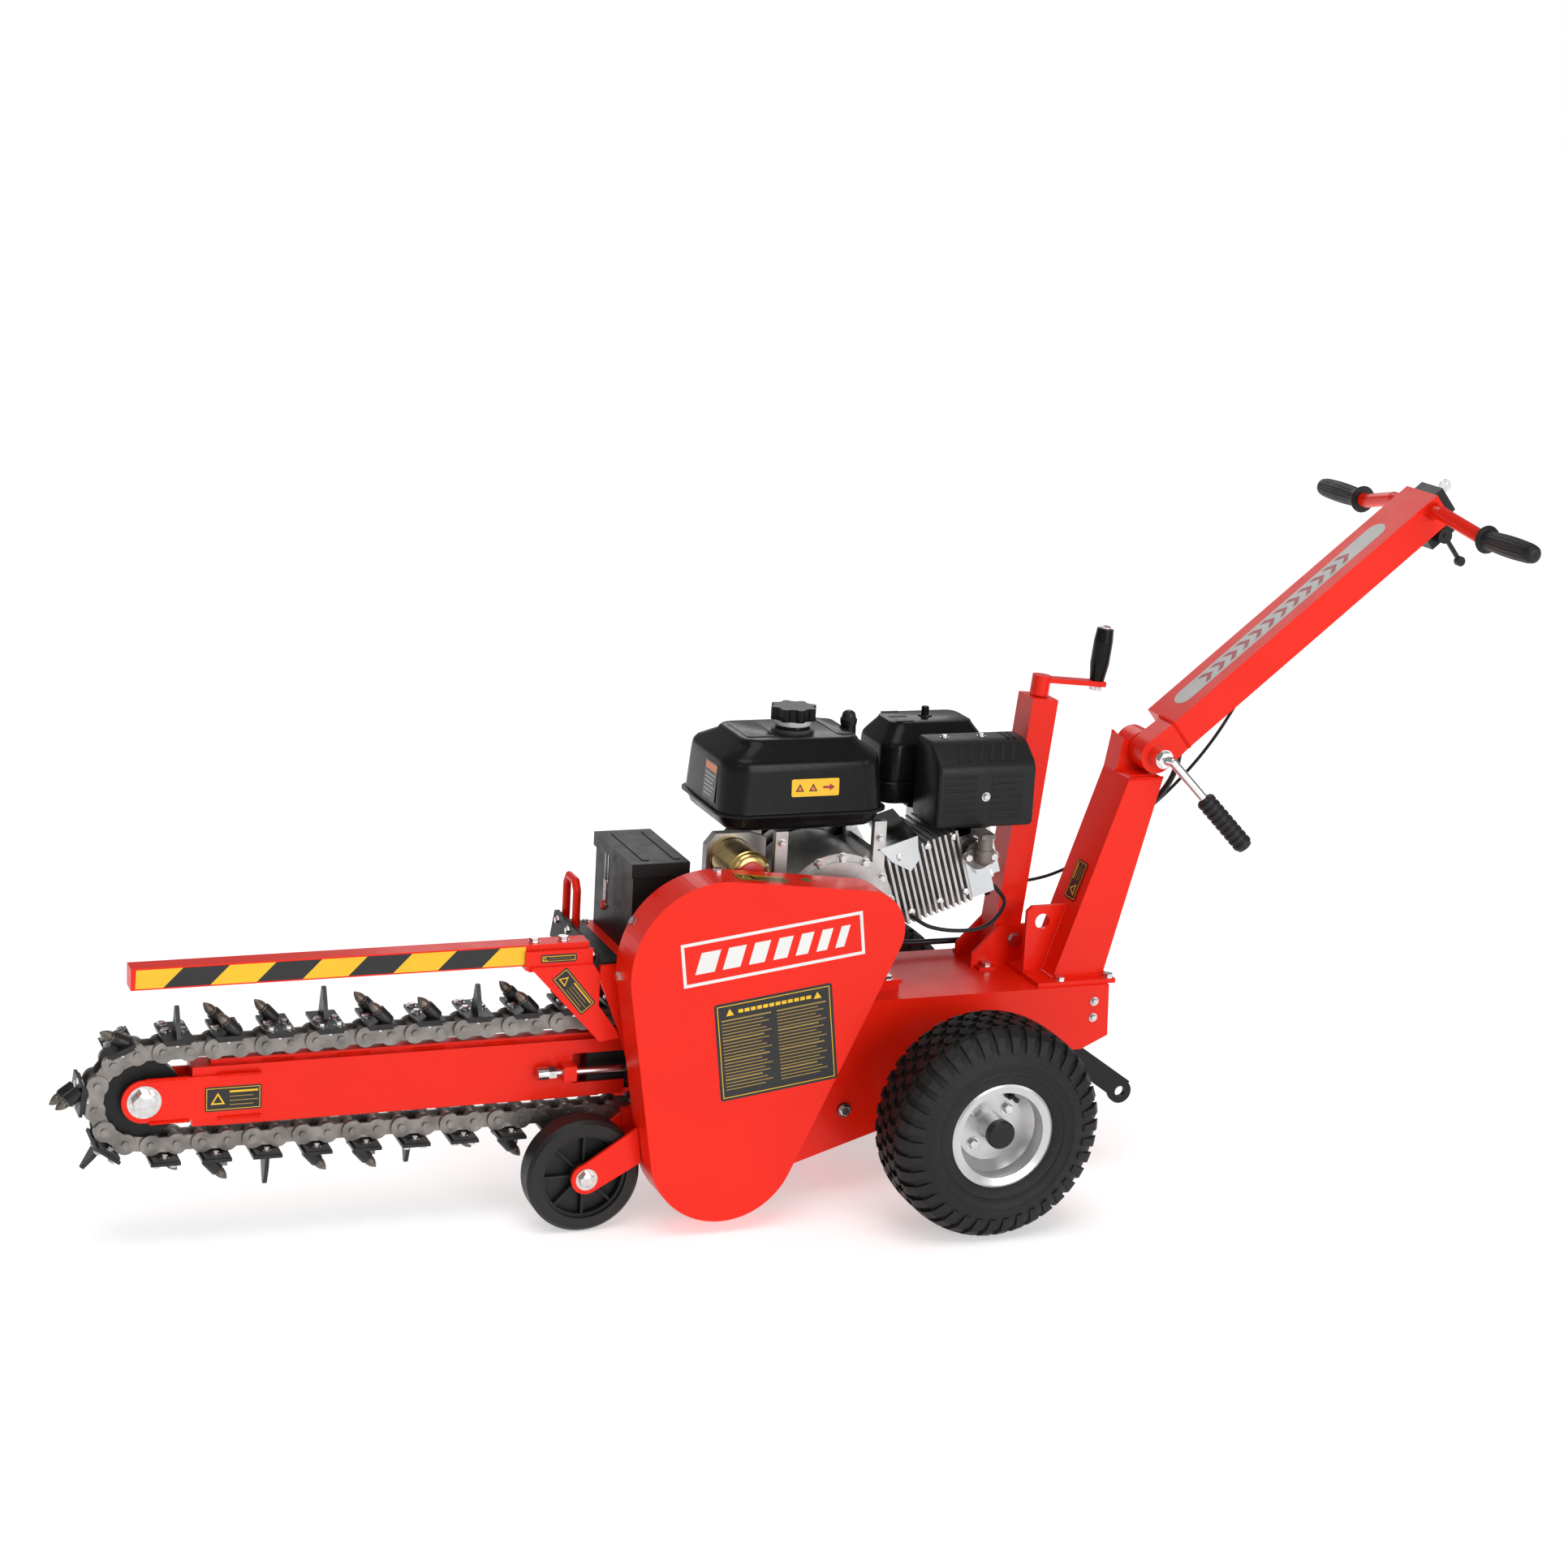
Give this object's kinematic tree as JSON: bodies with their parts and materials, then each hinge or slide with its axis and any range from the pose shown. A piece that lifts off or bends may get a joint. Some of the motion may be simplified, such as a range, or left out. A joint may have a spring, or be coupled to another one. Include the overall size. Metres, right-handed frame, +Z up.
{
  "type": "walk-behind chain trencher",
  "caption": "Petrol walk-behind trencher with a digging chain on a boom, belt drive under a guard, turf tyres, a cranked axle jack and a tilting T handle.",
  "frame": {"origin": "middle of the machine's box, on the ground", "axes": "+X towards the operator's handle, -Y the side with the drive guard, +Z up"},
  "size_m": [2.4926, 0.772, 1.2459],
  "materials": {
    "red_paint": "gloss",
    "steel": "worn",
    "black_paint": "satin",
    "cast_metal": "cast",
    "cast_iron": "rough",
    "plated": "bright",
    "tyre_rubber": "matte",
    "rim_metal": "satin",
    "black_rubber": "matte",
    "black_plastic": "satin",
    "gold_plate": "plated"
  },
  "bodies": {
    "chassis": {"main_frame": "red_paint", "handle_post": "red_paint", "jack_bracket": "red_paint", "jack_column": "red_paint", "belt_guard": "red_paint", "guard_back_plate": "red_paint", "hazard_bar": "red_paint", "bar_bracket": "red_paint", "rubber_flap": "black_rubber", "lift_loop": "red_paint", "battery_box": "black_paint", "battery": "black_plastic", "crankcase": "cast_metal", "finned_barrel": "cast_metal", "cylinder_head": "cast_metal", "blower_housing": "black_paint", "fuel_tank": "black_paint", "muffler": "black_paint", "exhaust_pipe": "cast_metal", "air_cleaner": "black_plastic", "carburettor": "cast_metal", "starter_motor": "gold_plate", "shaft_bearings": "cast_iron", "boom_support": "black_paint", "front_fork": "red_paint", "drive_belt": "black_rubber", "final_chain": "steel", "digging_chain": "steel", "digging_teeth": "black_paint", "fasteners": "plated", "throttle_cable": "black_rubber", "wiring_harness": "black_rubber", "battery_cables": "black_rubber", "tension_bolt": "plated"},
    "digger": {"digger_shaft": "steel", "drive_sprocket": "steel", "driven_sprocket": "steel"},
    "countershaft": {"countershaft": "steel"},
    "engine_shaft": {"engine_shaft": "steel"},
    "nose_roller": {"nose_roller": "black_paint"},
    "boom": {"boom": "red_paint"},
    "front_wheel": {"front_wheel": "black_rubber"},
    "axle": {"axle_arm": "black_paint"},
    "left_wheel": {"left_tyre": "tyre_rubber", "left_rim": "rim_metal"},
    "right_wheel": {"right_tyre": "tyre_rubber", "right_rim": "rim_metal"},
    "jack_rod": {"jack_rod": "steel"},
    "jack_crank": {"crank_handle": "red_paint"},
    "crank_grip": {"crank_grip": "black_plastic"},
    "handle": {"handle_beam": "red_paint", "handle_grips": "black_rubber", "control_box": "black_plastic"},
    "clamp_lever": {"clamp_lever": "plated"},
    "ignition_key": {"ignition_key": "plated"},
    "throttle_lever": {"throttle_lever": "black_plastic"},
    "choke_lever": {"choke_lever": "black_plastic"},
    "battery_lid": {"battery_lid": "black_paint"},
    "lid_latch": {"lid_latch": "plated"},
    "fuel_cap": {"fuel_cap": "black_plastic"}
  },
  "joints": [
    {"name": "digger_spin", "type": "hinge", "parent": "chassis", "child": "digger", "pos_m": [-0.16458, -0.01, 0.258], "axis": [0, 1, 0], "continuous": true, "deforming": ["digging_chain", "digging_teeth"]},
    {"name": "countershaft_spin", "type": "hinge", "parent": "chassis", "child": "countershaft", "pos_m": [-0.18558, -0.17, 0.461], "axis": [0, 1, 0], "continuous": true},
    {"name": "engine_shaft_spin", "type": "hinge", "parent": "chassis", "child": "engine_shaft", "pos_m": [0.06442, 0.01, 0.516], "axis": [0, 1, 0], "continuous": true},
    {"name": "nose_roller_spin", "type": "hinge", "parent": "boom", "child": "nose_roller", "pos_m": [-1.10486, -0.036, 0.258], "axis": [0, 1, 0], "continuous": true},
    {"name": "boom_tension", "type": "slide", "parent": "chassis", "child": "boom", "axis": [-1, 0, 0], "range_m": [0, 0.01], "deforming": ["digging_chain", "digging_teeth"]},
    {"name": "front_wheel_spin", "type": "hinge", "parent": "chassis", "child": "front_wheel", "pos_m": [-0.38858, -0.125, 0.098], "axis": [0, 1, 0], "continuous": true},
    {"name": "axle_lift", "type": "hinge", "parent": "chassis", "child": "axle", "pos_m": [0.08942, 0.01, 0.165], "axis": [0, 1, 0], "range_deg": [-6, 6]},
    {"name": "left_wheel_spin", "type": "hinge", "parent": "axle", "child": "left_wheel", "pos_m": [0.27942, -0.29, 0.1905], "axis": [0, 1, 0], "continuous": true},
    {"name": "right_wheel_spin", "type": "hinge", "parent": "axle", "child": "right_wheel", "pos_m": [0.27942, 0.31, 0.1905], "axis": [0, 1, 0], "continuous": true},
    {"name": "jack_slide", "type": "slide", "parent": "chassis", "child": "jack_rod", "axis": [0.0958, 0, 0.9954], "range_m": [-0.036, 0.036]},
    {"name": "crank_turn", "type": "hinge", "parent": "chassis", "child": "jack_crank", "pos_m": [0.49134, 0.06, 0.8657], "axis": [0.0958, 0, 0.9954], "continuous": true},
    {"name": "crank_grip_spin", "type": "hinge", "parent": "jack_crank", "child": "crank_grip", "pos_m": [0.60658, 0.06, 0.91488], "axis": [0.0958, 0, 0.9954], "continuous": true},
    {"name": "handle_tilt", "type": "hinge", "parent": "chassis", "child": "handle", "pos_m": [0.65842, -0.036, 0.768], "axis": [0, 1, 0], "range_deg": [-25, 25], "deforming": ["throttle_cable", "wiring_harness"]},
    {"name": "clamp_lever_turn", "type": "hinge", "parent": "handle", "child": "clamp_lever", "pos_m": [0.65842, -0.086, 0.768], "axis": [0, 1, 0], "range_deg": [-40, 60]},
    {"name": "key_turn", "type": "hinge", "parent": "handle", "child": "ignition_key", "pos_m": [1.21685, -0.022, 1.22249], "axis": [0.7738, 0, 0.6334], "range_deg": [0, 60]},
    {"name": "throttle_turn", "type": "hinge", "parent": "handle", "child": "throttle_lever", "pos_m": [1.19934, -0.084, 1.15388], "axis": [0, 1, 0], "range_deg": [-25, 25]},
    {"name": "choke_turn", "type": "hinge", "parent": "chassis", "child": "choke_lever", "pos_m": [0.31342, 0.136, 0.634], "axis": [0, 1, 0], "range_deg": [0, 35]},
    {"name": "battery_lid_hinge", "type": "hinge", "parent": "chassis", "child": "battery_lid", "pos_m": [-0.20158, 0.01, 0.586], "axis": [0, 1, 0], "range_deg": [0, 80]},
    {"name": "latch_turn", "type": "hinge", "parent": "chassis", "child": "lid_latch", "pos_m": [-0.31258, 0.03, 0.514], "axis": [0, 1, 0], "range_deg": [-75, 0]},
    {"name": "fuel_cap_turn", "type": "hinge", "parent": "chassis", "child": "fuel_cap", "pos_m": [0.01742, 0.045, 0.83], "axis": [0, 0, 1], "continuous": true}
  ],
  "couplings": [
    {"joint": "countershaft_spin", "follows": "digger_spin", "ratio": 3.4615},
    {"joint": "engine_shaft_spin", "follows": "digger_spin", "ratio": 10.385},
    {"joint": "nose_roller_spin", "follows": "digger_spin", "ratio": 1.0949},
    {"joint": "jack_slide", "follows": "axle_lift", "m_per_rad": -0.3329}
  ]
}
